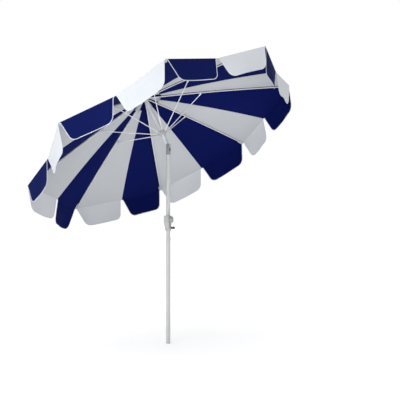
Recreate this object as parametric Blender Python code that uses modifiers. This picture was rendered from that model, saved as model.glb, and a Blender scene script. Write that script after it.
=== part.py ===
"""Beach umbrella: two-piece pole, crank lift, push-button tilt joint, eight ribs, sixteen-panel canopy.

Units are metres and Z is up. The origin is the centre of the pole's foot. The upper mast leans over at the
tilt joint, and everything on it is modelled in the mast's own frame, whose origin is the tilt pivot.
"""
import math

import bmesh
import bpy
from mathutils import Matrix, Vector

# Lean of the canopy
TILT_Z = 1.720
LEAN = math.radians(31.5)
LEAN_DIRECTION = math.radians(141.0)
# Canopy
RIBS = 8
HUB_Z = 0.498
HUB_PIVOT_R = 0.026
RIM_R = 1.251
RIM_DROP = 0.388
SEAM_R = 1.119
SEAM_DROP = 0.419
RIB_ARCH = 0.012
SEAM_ARCH = 0.022
VENT_R = 0.15
CLOTH = 0.003
CLOTH_LIFT = 0.0105
FLAP_LENGTH = 0.185
FLAP_NARROW = 0.19
FLAP_ROUND = 0.035
CAP_R = 0.40
CAP_TOP_Z = 0.5185
CAP_HEM_Z = 0.420
CAP_HOLE_R = 0.012
# Ribs, struts and runner
RIB_RADIUS = 0.0045
RIB_END_R = 1.216
STRUT_RADIUS = 0.004
STRUT_AT_R = 0.474
STRUT_PIN_DROP = 0.0140
RUNNER_Z = 0.129
RUNNER_PIVOT_R = 0.034
RUNNER_HALF = 0.022
PIN_RADIUS = 0.002
# Pole
POLE_R = 0.0172
POLE_WALL = 0.0017
LOWER_R = 0.0190
LOWER_TOP = 0.930
UPPER_BOTTOM = 0.880
UPPER_TOP = 1.6665
MAST_R = 0.0165
MAST_WALL = 0.0015
GAP = 0.0003
# Crank
CRANK_Z = 1.076
CRANK_Y = -0.0335
CRANK_TURN = math.radians(-17.0)
ARM_X = 0.0265
HANDLE_DROP = 0.072
SPOOL_R = 0.0105
# Cord and pulley
CORD_R = 0.0015
PULLEY_Z = 0.455
PULLEY_OFFSET = 0.0085
PULLEY_RUN_R = 0.0140
CORD_DIRECTION = math.radians(163.5)
SNAP_Z = 0.906
BUTTON_Z = 1.683
SCREWS = ((-0.0158, 0.9905), (0.0185, 1.0940))

for old in list(bpy.data.objects):
    bpy.data.objects.remove(old, do_unlink=True)

PARTS = bpy.data.collections.new("beach_umbrella")
CUTTERS = bpy.data.collections.new("cutters")
bpy.context.scene.collection.children.link(PARTS)
bpy.context.scene.collection.children.link(CUTTERS)


def material(name, colour, roughness, metallic=0.0):
    """A Principled material in a plain colour."""
    made = bpy.data.materials.new(name)
    made.use_nodes = True
    shader = made.node_tree.nodes["Principled BSDF"]
    shader.inputs["Base Color"].default_value = (*colour, 1.0)
    shader.inputs["Roughness"].default_value = roughness
    shader.inputs["Metallic"].default_value = metallic
    return made


WHITE_METAL = material("white_coated_metal", (0.78, 0.79, 0.80), 0.35, 0.2)
GREY_METAL = material("grey_coated_metal", (0.62, 0.63, 0.64), 0.4, 0.2)
STEEL = material("plain_steel", (0.55, 0.55, 0.56), 0.3, 1.0)
WHITE_PLASTIC = material("white_plastic", (0.80, 0.81, 0.82), 0.45)
GREY_PLASTIC = material("grey_plastic", (0.48, 0.49, 0.50), 0.5)
DARK_PLASTIC = material("dark_grey_plastic", (0.07, 0.07, 0.075), 0.5)
NAVY_CLOTH = material("navy_cloth", (0.010, 0.016, 0.105), 0.9)
WHITE_CLOTH = material("white_cloth", (0.82, 0.84, 0.86), 0.9)
CORD_WHITE = material("white_cord", (0.75, 0.75, 0.74), 0.9)


def place(thing, surface, parent=None, matrix=None):
    """Put an object in the parts collection, dressed and placed."""
    PARTS.objects.link(thing)
    thing.parent = parent
    thing.matrix_local = matrix if matrix else Matrix.Identity(4)
    thing.data.materials.clear()
    thing.data.materials.append(surface)
    return thing


def frame(name, matrix, parent=None):
    """An empty that carries the pieces of one moving body."""
    made = bpy.data.objects.new(name, None)
    PARTS.objects.link(made)
    made.parent = parent
    made.matrix_local = matrix
    return made


def mesh_of(build, name):
    """A mesh filled by a bmesh function, shaded smooth up to 35 degrees."""
    grid = bmesh.new()
    build(grid)
    made = bpy.data.meshes.new(name)
    grid.to_mesh(made)
    grid.free()
    made.shade_smooth()
    made.set_sharp_from_angle(angle=math.radians(35))
    return made


def rod(radius, start, end, sides=12):
    """A closed cylinder between two points."""
    start, end = Vector(start), Vector(end)
    turn = (end - start).to_track_quat("Z", "Y").to_matrix().to_4x4()
    spot = Matrix.Translation((start + end) / 2) @ turn

    def build(grid):
        bmesh.ops.create_cone(
            grid, cap_ends=True, segments=sides, radius1=radius, radius2=radius,
            depth=(end - start).length, matrix=spot,
        )

    return build


def block(low, high):
    """A closed box between two corners."""
    low, high = Vector(low), Vector(high)
    size = Matrix.Diagonal((*(high - low), 1.0))
    spot = Matrix.Translation((low + high) / 2) @ size

    def build(grid):
        bmesh.ops.create_cube(grid, size=1.0, matrix=spot)

    return build


def solid(name, build, surface, parent=None, matrix=None):
    """A part made by one bmesh function."""
    return place(bpy.data.objects.new(name, mesh_of(build, name)), surface, parent, matrix)


def helper(name, build, parent=None, matrix=None):
    """A guide body that only cuts or joins."""
    made = bpy.data.objects.new(name, mesh_of(build, name))
    CUTTERS.objects.link(made)
    made.parent = parent
    made.matrix_local = matrix if matrix else Matrix.Identity(4)
    made.hide_render = True
    made.display_type = "WIRE"
    return made


def combine(target, other, operation="DIFFERENCE"):
    """Cut a piece with a guide body, or join the two."""
    step = target.modifiers.new(operation.lower() + "_" + other.name, "BOOLEAN")
    step.object = other
    step.operation = operation
    step.solver = "EXACT"


def drill(target, build, operation="DIFFERENCE", parent=None, matrix=None):
    """Cut or join with a body made on the spot."""
    number = len(target.modifiers)
    combine(target, helper(f"{target.name}_{number}", build, parent, matrix), operation)


def turned(name, outline, surface, parent=None, matrix=None, steps=20):
    """A turned part: a closed outline of radius and height swept round its Z axis."""
    made = bpy.data.meshes.new(name)
    grid = bmesh.new()
    points = [grid.verts.new((radius, 0.0, height)) for radius, height in outline]
    ends = points[1:] if outline[0][0] == 0.0 else points[1:] + points[:1]
    for first, second in zip(points, ends):
        grid.edges.new((first, second))
    grid.to_mesh(made)
    grid.free()
    part = place(bpy.data.objects.new(name, made), surface, parent, matrix)
    sweep = part.modifiers.new("turn", "SCREW")
    sweep.steps = steps
    sweep.render_steps = steps
    sweep.use_merge_vertices = True
    sweep.merge_threshold = 0.00001
    sweep.use_smooth_shade = True
    return part


def sleeve(inner, outer, low, high):
    """The outline of a plain tube, top to bottom down its outer side."""
    return [(outer, high), (outer, low), (inner, low), (inner, high)]


def wire(name, points, radius, surface, parent=None, resolution=2):
    """A round wire along a run of points, with closed ends."""
    path = bpy.data.curves.new(name, "CURVE")
    path.dimensions = "3D"
    path.bevel_depth = radius
    path.bevel_resolution = resolution
    path.use_fill_caps = True
    run = path.splines.new("POLY")
    run.points.add(len(points) - 1)
    for spot, point in zip(run.points, points):
        spot.co = (*point, 1.0)
    return place(bpy.data.objects.new(name, path), surface, parent)


def baked(thing):
    """The finished mesh of an object, with its seams welded, ready to share."""
    bpy.context.view_layer.update()
    seen = thing.evaluated_get(bpy.context.evaluated_depsgraph_get())
    made = bpy.data.meshes.new_from_object(seen)
    grid = bmesh.new()
    grid.from_mesh(made)
    bmesh.ops.remove_doubles(grid, verts=grid.verts, dist=0.00001)
    grid.to_mesh(made)
    grid.free()
    return made


def spring(name, radius, start, end, turns, gauge, surface, parent=None):
    """A coil spring between two points."""
    start, end = Vector(start), Vector(end)
    turn = (end - start).to_track_quat("Z", "Y")
    count = turns * 6
    points = []
    for step in range(count + 1):
        angle = 2 * math.pi * step / 6
        rise = (end - start).length * step / count
        points.append(start + turn @ Vector((radius * math.cos(angle), radius * math.sin(angle), rise)))
    return wire(name, points, gauge, surface, parent, 1)


# Directions and frames
LEAN_TURN = Matrix.Rotation(LEAN, 4, Vector((-math.sin(LEAN_DIRECTION), math.cos(LEAN_DIRECTION), 0.0)))
PIVOT_TURN = Matrix.Rotation(LEAN_DIRECTION, 4, "Z")
TILT_FRAME = Matrix.Translation((0.0, 0.0, TILT_Z)) @ PIVOT_TURN
CRANK_FRAME = frame("crank_frame", Matrix.Rotation(CRANK_TURN, 4, "Z"))
MAST = frame("mast_frame", Matrix.Translation((0.0, 0.0, TILT_Z)) @ LEAN_TURN)
DOWN = LEAN_TURN.to_3x3().inverted() @ Vector((0.0, 0.0, -1.0))
HANG = (Vector((0.0, 0.0, -0.65)) + 0.35 * DOWN).normalized()


def rib_angle(number):
    """Where a rib points in the mast's frame: the first lies straight down the lean."""
    return LEAN_DIRECTION + 2 * math.pi * number / RIBS


def rib_drop(radius):
    """How far a rib has dropped below its hub pivot at a radius."""
    along = (radius - HUB_PIVOT_R) / (RIM_R - HUB_PIVOT_R)
    return RIM_DROP * along - 4 * RIB_ARCH * along * (1 - along)


def rib_seam(share, angle):
    """A point of the cloth over a rib, at a share of the way out to the rim."""
    radius = RIM_R * share
    height = HUB_Z - rib_drop(radius) + CLOTH_LIFT
    return Vector((radius * math.cos(angle), radius * math.sin(angle), height))


def free_seam(share, angle):
    """A point of the seam between two ribs, where no rib holds the cloth."""
    radius = SEAM_R * share
    drop = SEAM_DROP * share - 4 * SEAM_ARCH * share * (1 - share)
    return Vector((radius * math.cos(angle), radius * math.sin(angle), HUB_Z - drop + CLOTH_LIFT))


def cloth_point(share, across, angle):
    """A point of one rib's cloth: across is 0 on the rib and 1 or -1 on the free seams."""
    side = math.copysign(math.pi / RIBS, across)
    return rib_seam(share, angle).lerp(free_seam(share, angle + side), abs(across))


def flap_rows(side, angle):
    """Rows of one flap, from the rim down, as it hangs with round lower corners."""
    inner = cloth_point(1.0, 0.02 * side, angle)
    outer = cloth_point(1.0, 0.975 * side, angle)
    rows = []
    for depth in (0.0, 0.4, 0.81, 0.94, 1.0):
        corner = max(0.0, depth * FLAP_LENGTH - (FLAP_LENGTH - FLAP_ROUND))
        bite = FLAP_ROUND - math.sqrt(max(0.0, FLAP_ROUND**2 - corner**2))
        width = (outer - inner).length
        pull = FLAP_NARROW * depth + bite / width
        row = []
        for across in (0.0, 0.5, 1.0):
            spot = pull + (1 - 2 * pull) * across
            row.append(inner.lerp(outer, spot) + HANG * (FLAP_LENGTH * depth))
        rows.append(row)
    return rows


def sheet(grid, rows):
    """Faces across rows of points."""
    made = [[grid.verts.new(point) for point in row] for row in rows]
    for upper, lower in zip(made, made[1:]):
        for number in range(len(upper) - 1):
            grid.faces.new((upper[number], lower[number], lower[number + 1], upper[number + 1]))


def gore(number):
    """One rib's cloth: a navy and a white panel with the flap that hangs from each."""
    angle = rib_angle(number)
    name = f"canopy_gore_{number + 1}"

    def build(grid):
        stops = (-0.975, -0.4975, -0.02, 0.02, 0.4975, 0.975)
        shares = [VENT_R / RIM_R + (1 - VENT_R / RIM_R) * step / 4 for step in range(5)]
        sheet(grid, [[cloth_point(share, across, angle) for across in stops] for share in shares])
        for side in (1, -1):
            rows = flap_rows(side, angle)
            sheet(grid, rows if side > 0 else [row[::-1] for row in rows])
        bmesh.ops.remove_doubles(grid, verts=grid.verts, dist=0.0001)
        bmesh.ops.recalc_face_normals(grid, faces=grid.faces)
        bmesh.ops.transform(grid, matrix=rib_matrix(number).inverted(), verts=grid.verts)

    cloth = solid(name, build, NAVY_CLOTH, RIB_FRAMES[number])
    cloth.data.materials.append(WHITE_CLOTH)
    cloth.data.materials.append(NAVY_CLOTH)
    thick = cloth.modifiers.new("thickness", "SOLIDIFY")
    thick.thickness = CLOTH
    thick.offset = 0.0
    return cloth


def rib_matrix(number):
    """A rib's frame in the mast's frame: X out along the rib, Y along its hinge."""
    angle = rib_angle(number)
    spot = Vector((HUB_PIVOT_R * math.cos(angle), HUB_PIVOT_R * math.sin(angle), HUB_Z))
    return Matrix.Translation(spot) @ Matrix.Rotation(angle, 4, "Z")


RIB_FRAMES = [frame(f"rib_frame_{n + 1}", rib_matrix(n), MAST) for n in range(RIBS)]


def rib_spot(radius, below=0.0):
    """A point on a rib's centre line in the rib's own frame."""
    return Vector((radius - HUB_PIVOT_R, 0.0, -rib_drop(radius) - below))


STRUT_PIN = rib_spot(STRUT_AT_R, STRUT_PIN_DROP)
STRUT_FOOT = Vector((RUNNER_PIVOT_R - HUB_PIVOT_R, 0.0, RUNNER_Z - HUB_Z))
STRUT_LENGTH = (STRUT_FOOT - STRUT_PIN).length


def rib_shape():
    """A rib: a slightly arched tube with a hinge pin at the hub and a lug for its strut."""
    stops = [HUB_PIVOT_R - 0.003 + (RIB_END_R - HUB_PIVOT_R + 0.003) * step / 4 for step in range(5)]
    bar = wire("rib_master", [rib_spot(stop) for stop in stops], RIB_RADIUS, WHITE_METAL)
    body = bpy.data.objects.new("rib_body", baked(bar))
    CUTTERS.objects.link(body)
    bpy.data.objects.remove(bar)
    lug = STRUT_PIN
    drill(body, rod(PIN_RADIUS, (0, -0.0068, 0), (0, 0.0068, 0), 8), "UNION")
    drill(body, block(lug + Vector((-0.006, -0.002, -0.0045)), lug + Vector((0.006, 0.002, 0.0125))), "UNION")
    drill(body, rod(PIN_RADIUS, lug - Vector((0, 0.0063, 0)), lug + Vector((0, 0.0063, 0)), 8), "UNION")
    made = baked(body)
    bpy.data.objects.remove(body)
    return made


def strut_shape():
    """A strut: a fork that straddles the rib's lug, a tube, and the pin that sits in the runner."""
    body = helper("strut_body", rod(STRUT_RADIUS, (0.014, 0, 0), (STRUT_LENGTH + 0.003, 0, 0), 8))
    drill(body, block((0.012, -0.0054, -0.005), (0.019, 0.0054, 0.005)), "UNION")
    drill(body, block((-0.005, 0.0026, -0.0048), (0.015, 0.0054, 0.0048)), "UNION")
    drill(body, block((-0.005, -0.0054, -0.0048), (0.015, -0.0026, 0.0048)), "UNION")
    drill(body, rod(PIN_RADIUS + 0.0005, (0, -0.01, 0), (0, 0.01, 0), 8))
    end = STRUT_LENGTH
    drill(body, rod(PIN_RADIUS, (end, -0.0068, 0), (end, 0.0068, 0), 8), "UNION")
    made = baked(body)
    bpy.data.objects.remove(body)
    return made


def tip_shape():
    """The moulded cap that closes a rib's outer end and holds the cloth's corner."""
    end = rib_spot(RIB_END_R + GAP)
    way = (rib_spot(RIM_R - 0.012) - end).normalized()
    body = helper("tip_body", rod(0.0056, end, end + way * 0.015, 8))
    drill(body, rod(0.0040, end + way * 0.014, end + way * 0.021, 8), "UNION")
    made = baked(body)
    bpy.data.objects.remove(body)
    return made


def make_ribs():
    """The eight ribs with their tips, struts and cloth."""
    rib, strut, tip = rib_shape(), strut_shape(), tip_shape()
    way = STRUT_FOOT - STRUT_PIN
    turn = Matrix.Rotation(math.atan2(-way.z, way.x), 4, "Y")
    for number in range(RIBS):
        holder = RIB_FRAMES[number]
        place(bpy.data.objects.new(f"rib_{number + 1}", rib), WHITE_METAL, holder)
        place(bpy.data.objects.new(f"rib_tip_{number + 1}", tip), WHITE_PLASTIC, holder)
        hinge = frame(f"strut_frame_{number + 1}", Matrix.Translation(STRUT_PIN) @ turn, holder)
        place(bpy.data.objects.new(f"strut_{number + 1}", strut), WHITE_METAL, hinge)
        gore(number)


def spokes(radius, low, high, half_width, reach, pin_height, pin_reach):
    """The slot and pin seat that one rib or strut needs in a ring, for every direction."""
    made = []
    for number in range(RIBS):
        turn = Matrix.Rotation(rib_angle(number), 4, "Z")
        made.append((block((reach, -half_width, low), (0.06, half_width, high)), turn))
        seat = rod(PIN_RADIUS + 0.0012, (radius, -pin_reach, pin_height), (radius, pin_reach, pin_height), 12)
        made.append((seat, turn))
    return made


def make_hub():
    """The top hub: a socket for the mast and a slotted disc for the ribs."""
    outline = [
        (0.0, 0.512), (0.028, 0.512), (0.033, 0.508), (0.033, 0.489), (0.028, 0.484),
        (0.022, 0.484), (0.022, 0.4756), (0.0168, 0.4756), (0.0168, 0.4815), (0.0, 0.4815),
    ]
    hub = turned("top_hub", outline, WHITE_PLASTIC, MAST)
    for build, turn in spokes(HUB_PIVOT_R, 0.480, 0.516, 0.0054, 0.0195, HUB_Z, 0.0073):
        drill(hub, build, "DIFFERENCE", MAST, turn)


def make_runner():
    """The runner: a sleeve that slides on the mast and carries the struts' feet."""
    low, high = RUNNER_Z - RUNNER_HALF, RUNNER_Z + RUNNER_HALF
    outline = [
        (0.0290, high), (0.0300, high - 0.008), (0.0410, high - 0.012), (0.0410, low + 0.012),
        (0.0300, low + 0.008), (0.0290, low), (0.0205, low), (0.0205, high),
    ]
    runner = turned("runner", outline, WHITE_PLASTIC, MAST)
    for build, turn in spokes(RUNNER_PIVOT_R, low + 0.0095, high + 0.02, 0.0049, 0.0285, RUNNER_Z, 0.0076):
        drill(runner, build, "DIFFERENCE", MAST, turn)


def make_mast():
    """The upper mast with its pulley, the finial and the vent cap."""
    outline = sleeve(MAST_R - MAST_WALL, MAST_R, 0.0345, 0.4812)
    mast = turned("upper_mast", outline, WHITE_METAL, MAST)
    side = Matrix.Rotation(CORD_DIRECTION, 4, "Z")
    drill(mast, block((0.004, -0.0042, 0.4365), (0.03, 0.0042, 0.4735)), "DIFFERENCE", MAST, side)
    hole = rod(0.0024, (PULLEY_OFFSET, -0.03, PULLEY_Z), (PULLEY_OFFSET, 0.03, PULLEY_Z), 12)
    drill(mast, hole, "DIFFERENCE", MAST, side)
    turn = Matrix.Translation((0, 0, PULLEY_Z)) @ Matrix.Rotation(math.radians(-90), 4, "X")
    seat = side @ Matrix.Translation((PULLEY_OFFSET, 0, 0)) @ turn
    wheel = [
        (0.0150, 0.0030), (0.0150, 0.0020), (0.0122, 0.0012), (0.0122, -0.0012),
        (0.0150, -0.0020), (0.0150, -0.0030), (0.0026, -0.0030), (0.0026, 0.0030),
    ]
    turned("pulley", wheel, WHITE_PLASTIC, MAST, seat, 16)
    solid("pulley_pin", rod(0.0020, (0, 0, -0.0165), (0, 0, 0.0165), 12), STEEL, MAST, seat)
    knob = [
        (0.0, 0.598), (0.010, 0.597), (0.019, 0.590), (0.0245, 0.577), (0.0255, 0.563),
        (0.0235, 0.548), (0.0185, 0.536), (0.0195, 0.530), (0.0240, 0.527), (0.0240, 0.5225),
        (0.0070, 0.5225), (0.0070, 0.5123), (0.0, 0.5123),
    ]
    turned("finial", knob, WHITE_PLASTIC, MAST)


def make_vent_cap():
    """The small upper canopy over the vent, with a scalloped hem."""
    def build(grid):
        rows = []
        for share in (0.0, 0.5, 1.0):
            row = []
            for step in range(RIBS * 4):
                angle = LEAN_DIRECTION + 2 * math.pi * step / (RIBS * 4)
                between = step % 4
                radius = CAP_HOLE_R + (CAP_R - CAP_HOLE_R) * share
                height = CAP_TOP_Z + (CAP_HEM_Z - CAP_TOP_Z) * share
                if between == 2:
                    radius *= 1 - 0.075 * share
                    height -= 0.006 * share
                elif between:
                    radius *= 1 - 0.058 * share
                row.append(Vector((radius * math.cos(angle), radius * math.sin(angle), height)))
            rows.append(row + row[:1])
        sheet(grid, rows)
        bmesh.ops.remove_doubles(grid, verts=grid.verts, dist=0.0001)
        bmesh.ops.recalc_face_normals(grid, faces=grid.faces)

    cap = solid("vent_cap", build, NAVY_CLOTH, MAST)
    cap.data.materials.append(WHITE_CLOTH)
    thick = cap.modifiers.new("thickness", "SOLIDIFY")
    thick.thickness = CLOTH
    thick.offset = 1.0


def make_tilt_joint():
    """The tilt knuckle: a forked lower half, a tongued upper half, the pin and the push button."""
    joint = frame("tilt_frame", TILT_FRAME)
    outline = [
        (0.0, 0.0), (0.0190, 0.0), (0.0190, 1.6400 - TILT_Z), (0.0175, 1.6400 - TILT_Z),
        (0.0175, UPPER_TOP + GAP - TILT_Z), (0.0, UPPER_TOP + GAP - TILT_Z),
    ]
    lower = turned("tilt_lower_housing", outline, WHITE_PLASTIC, joint)
    drill(lower, rod(0.0165, (0, -0.0130, 0), (0, 0.0130, 0), 20), "UNION", joint)
    drill(lower, block((-0.03, -0.0073, -0.0180), (0.03, 0.0073, 0.03)), "DIFFERENCE", joint)
    drill(lower, rod(0.0044, (0, -0.03, 0), (0, 0.03, 0), 16), "DIFFERENCE", joint)
    low, high = BUTTON_Z - 0.0130 - TILT_Z, BUTTON_Z + 0.0130 - TILT_Z
    drill(lower, block((-0.03, -0.0066, low - 0.0004), (-0.0090, 0.0066, high + 0.0004)), "DIFFERENCE", joint)
    button = solid("tilt_button", block((-0.0222, -0.0062, low), (-0.0150, 0.0062, high)), DARK_PLASTIC, joint)
    edge = button.modifiers.new("soft_edges", "BEVEL")
    edge.width = 0.0015
    edge.segments = 2
    height = BUTTON_Z - TILT_Z
    spring("button_spring", 0.0034, (-0.0100, 0, height), (-0.0140, 0, height), 3, 0.0004, STEEL, joint)
    solid("tilt_pin", rod(0.0041, (0, -0.0178, 0), (0, 0.0178, 0), 16), STEEL, joint)
    upper_frame = frame("tilt_upper_frame", PIVOT_TURN, MAST)
    outline = [
        (0.0, 0.0340), (0.0168, 0.0340), (0.0168, 0.0620), (0.0190, 0.0620), (0.0190, 0.0203), (0.0, 0.0203),
    ]
    upper = turned("tilt_upper_housing", outline, WHITE_PLASTIC, upper_frame)
    drill(upper, block((-0.0120, -0.0068, 0.001), (0.0120, 0.0068, 0.0243)), "UNION", upper_frame)
    drill(upper, rod(0.0150, (0, -0.0066, 0), (0, 0.0066, 0), 20), "UNION", upper_frame)
    drill(upper, rod(0.0044, (0, -0.03, 0), (0, 0.03, 0), 16), "DIFFERENCE", upper_frame)


def make_pole():
    """The two pole tubes, the foot plug and the snap button that locks them together."""
    lower = turned("lower_pole", sleeve(POLE_R + 0.0004, LOWER_R, 0.0063, LOWER_TOP), WHITE_METAL)
    upper = turned("upper_pole", sleeve(POLE_R - POLE_WALL, POLE_R, UPPER_BOTTOM, UPPER_TOP), WHITE_METAL)
    bore = rod(0.0049, (0.005, 0, SNAP_Z), (0.03, 0, SNAP_Z), 16)
    drill(lower, bore)
    drill(upper, bore)
    drill(upper, block((-0.004, -0.03, 1.083), (0.004, -0.0100, 1.106)), "DIFFERENCE", CRANK_FRAME)
    plug = [
        (0.0, 0.040), (0.0150, 0.040), (0.0172, 0.036), (0.0172, 0.006), (0.0190, 0.006),
        (0.0190, 0.001), (0.0180, 0.0), (0.0, 0.0),
    ]
    turned("end_plug", plug, GREY_PLASTIC)
    button = solid("snap_button", rod(0.0045, (0.0110, 0, SNAP_Z), (0.0225, 0, SNAP_Z), 16), STEEL)
    drill(button, rod(0.0065, (0.0105, 0, SNAP_Z), (0.0120, 0, SNAP_Z), 16), "UNION")
    spring("snap_spring", 0.0045, (-0.0125, 0, SNAP_Z), (0.0098, 0, SNAP_Z), 4, 0.0005, STEEL)


def housing_body(name, surface, side):
    """One half of the crank housing, tapered towards its lower end: side is -1 in front and 1 behind."""
    def build(grid):
        bmesh.ops.create_cube(grid, size=1.0)
        for corner in grid.verts:
            top = corner.co.z > 0
            wide = 0.0240 if top else 0.0208
            front, back = (-0.0545, 0.0245) if top else (-0.0212, 0.0212)
            corner.co.x = math.copysign(wide, corner.co.x)
            corner.co.y = front if corner.co.y < 0 else back
            corner.co.z = 1.109 if top else 0.976
        cut = bmesh.ops.bisect_plane(
            grid, geom=grid.verts[:] + grid.edges[:] + grid.faces[:], dist=0.000001,
            plane_co=(0, 0, 1.043), plane_no=(0, 0, 1),
        )
        for corner in cut["geom_cut"]:
            if isinstance(corner, bmesh.types.BMVert):
                corner.co.y = -0.052 if corner.co.y < 0 else 0.0240
                corner.co.x = math.copysign(0.0232, corner.co.x)
        bmesh.ops.bevel(
            grid, geom=grid.edges[:], offset=0.004, segments=1, affect="EDGES", profile=0.5,
        )
        bmesh.ops.bisect_plane(
            grid, geom=grid.verts[:] + grid.edges[:] + grid.faces[:], dist=0.000001,
            plane_co=(0, side * GAP / 2, 0), plane_no=(0, side, 0), clear_inner=True,
        )
        rim = [edge for edge in grid.edges if len(edge.link_faces) == 1]
        bmesh.ops.holes_fill(grid, edges=rim)
        bmesh.ops.recalc_face_normals(grid, faces=grid.faces)
        bmesh.ops.triangulate(grid, faces=grid.faces)

    half = solid(name, build, surface, CRANK_FRAME)
    drill(half, rod(POLE_R + 0.0004, (0, 0, 0.95), (0, 0, 1.15), 20), "DIFFERENCE", CRANK_FRAME)
    return half


def crank_drill(target, build, operation="DIFFERENCE"):
    """Cut or join a piece of the crank, in the crank's frame."""
    drill(target, build, operation, CRANK_FRAME)


def make_crank():
    """The crank housing and everything that turns in it."""
    front = housing_body("crank_housing_front", WHITE_PLASTIC, -1)
    crank_drill(front, block((-0.0188, -0.0497, 1.0565), (0.0188, -0.0150, 1.1031)))
    crank_drill(front, rod(0.0053, (0, CRANK_Y, CRANK_Z), (0.05, CRANK_Y, CRANK_Z), 16))
    rear = housing_body("crank_housing_rear", WHITE_PLASTIC, 1)
    for side, height in SCREWS:
        crank_drill(rear, rod(0.0017, (side, 0.0125, height), (side, 0.022, height), 10))
        crank_drill(rear, rod(0.0034, (side, 0.0191, height), (side, 0.030, height), 12))
    turn = Matrix.Translation((0, CRANK_Y, CRANK_Z)) @ Matrix.Rotation(math.radians(90), 4, "Y")
    spool = [
        (0.0, 0.0380), (0.0050, 0.0380), (0.0050, 0.0150), (0.0148, 0.0150), (0.0148, 0.0130),
        (SPOOL_R, 0.0130), (SPOOL_R, -0.0130), (0.0148, -0.0130), (0.0148, -0.0150),
        (0.0050, -0.0150), (0.0050, -0.0185), (0.0, -0.0185),
    ]
    turned("crank_spool", spool, STEEL, CRANK_FRAME, turn, 16)
    hub = rod(0.0260, (ARM_X, CRANK_Y, CRANK_Z), (0.0500, CRANK_Y, CRANK_Z), 20)
    arm = solid("crank_arm", hub, GREY_PLASTIC, CRANK_FRAME)
    foot, face = CRANK_Z - HANDLE_DROP, ARM_X + 0.007
    crank_drill(arm, block((ARM_X, CRANK_Y - 0.009, foot), (face, CRANK_Y + 0.009, CRANK_Z)), "UNION")
    crank_drill(arm, rod(0.0105, (ARM_X, CRANK_Y, foot), (face, CRANK_Y, foot), 16), "UNION")
    crank_drill(arm, rod(0.0053, (0.02, CRANK_Y, CRANK_Z), (0.0385, CRANK_Y, CRANK_Z), 16))
    crank_drill(arm, rod(0.0031, (0.02, CRANK_Y, foot), (0.05, CRANK_Y, foot), 14))
    side = Matrix.Translation((0, CRANK_Y, foot)) @ Matrix.Rotation(math.radians(90), 4, "Y")
    pin = [
        (0.0, 0.0716), (0.0058, 0.0716), (0.0058, 0.0698), (0.0028, 0.0698),
        (0.0028, ARM_X + 0.0002), (0.0, ARM_X + 0.0002),
    ]
    turned("knob_pin", pin, STEEL, CRANK_FRAME, side, 16)
    knob = [
        (0.0075, 0.0694), (0.0100, 0.0665), (0.0104, 0.0560), (0.0095, 0.0450), (0.0082, 0.0370),
        (0.0070, 0.0342), (0.0033, 0.0342), (0.0033, 0.0694),
    ]
    turned("crank_knob", knob, DARK_PLASTIC, CRANK_FRAME, side, 16)


def make_screws():
    """The two screws that hold the housing's halves together, on its lower and upper lips."""
    for name, (side, height) in zip(("housing_screw_lower", "housing_screw_upper"), SCREWS):
        head = solid(name, rod(0.0030, (side, 0.0194, height), (side, 0.0212, height), 10), STEEL, CRANK_FRAME)
        crank_drill(head, rod(0.0013, (side, 0.0135, height), (side, 0.0200, height), 8), "UNION")


def smooth_run(points, count):
    """Evenly eased points along a rounded path through the given ones."""
    made = []
    for number in range(len(points) - 1):
        before = points[max(0, number - 1)]
        first, second = points[number], points[number + 1]
        after = points[min(len(points) - 1, number + 2)]
        for step in range(count):
            t = step / count
            made.append(0.5 * (
                2 * first + (second - before) * t
                + (2 * before - 5 * first + 4 * second - after) * t**2
                + (3 * first - before - 3 * second + after) * t**3
            ))
    return made + [points[-1]]


def make_cord():
    """The lift cord, from the spool up the pole, and from the tilt joint over the pulley to the runner."""
    reach = CRANK_Y + SPOOL_R + CORD_R + GAP
    route = [
        Vector((0, reach, CRANK_Z)), Vector((0, reach + 0.0005, 1.084)), Vector((0, -0.0155, 1.097)),
        Vector((0, -0.0090, 1.112)), Vector((0, -0.0070, 1.140)),
    ]
    wire("lift_cord_lower", smooth_run(route, 4) + [Vector((0, -0.0070, 1.664))], CORD_R, CORD_WHITE, CRANK_FRAME, 1)
    side = Matrix.Rotation(CORD_DIRECTION, 3, "Z")
    run = [side @ Vector((PULLEY_OFFSET - PULLEY_RUN_R, 0, 0.0360))]
    for step in range(9):
        angle = math.pi * (1 - step / 8)
        spot = Vector((PULLEY_OFFSET + PULLEY_RUN_R * math.cos(angle), 0, PULLEY_Z + PULLEY_RUN_R * math.sin(angle)))
        run.append(side @ spot)
    wire("lift_cord_upper", run, CORD_R, CORD_WHITE, MAST, 1)
    outer = PULLEY_OFFSET + PULLEY_RUN_R
    top, low = PULLEY_Z - GAP, RUNNER_Z + RUNNER_HALF + GAP
    drop = [side @ Vector((outer, 0, top)), side @ Vector((outer, 0, low))]
    wire("lift_cord_drop", drop, CORD_R, CORD_WHITE, MAST, 1)


make_pole()
make_crank()
make_screws()
make_tilt_joint()
make_mast()
make_hub()
make_runner()
make_ribs()
make_vent_cap()
make_cord()
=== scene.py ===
"""Beach umbrella: navy and white canopy on a tilting mast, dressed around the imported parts.

Everything is in metres. The origin is the centre of the pole's foot, and Z is up.
"""
import logging
import math
import random
from collections.abc import Iterable, Sequence
from dataclasses import dataclass, field
from enum import Enum
from typing import Protocol

import bpy
import numpy as np
from mathutils import Matrix, Vector, noise


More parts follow.
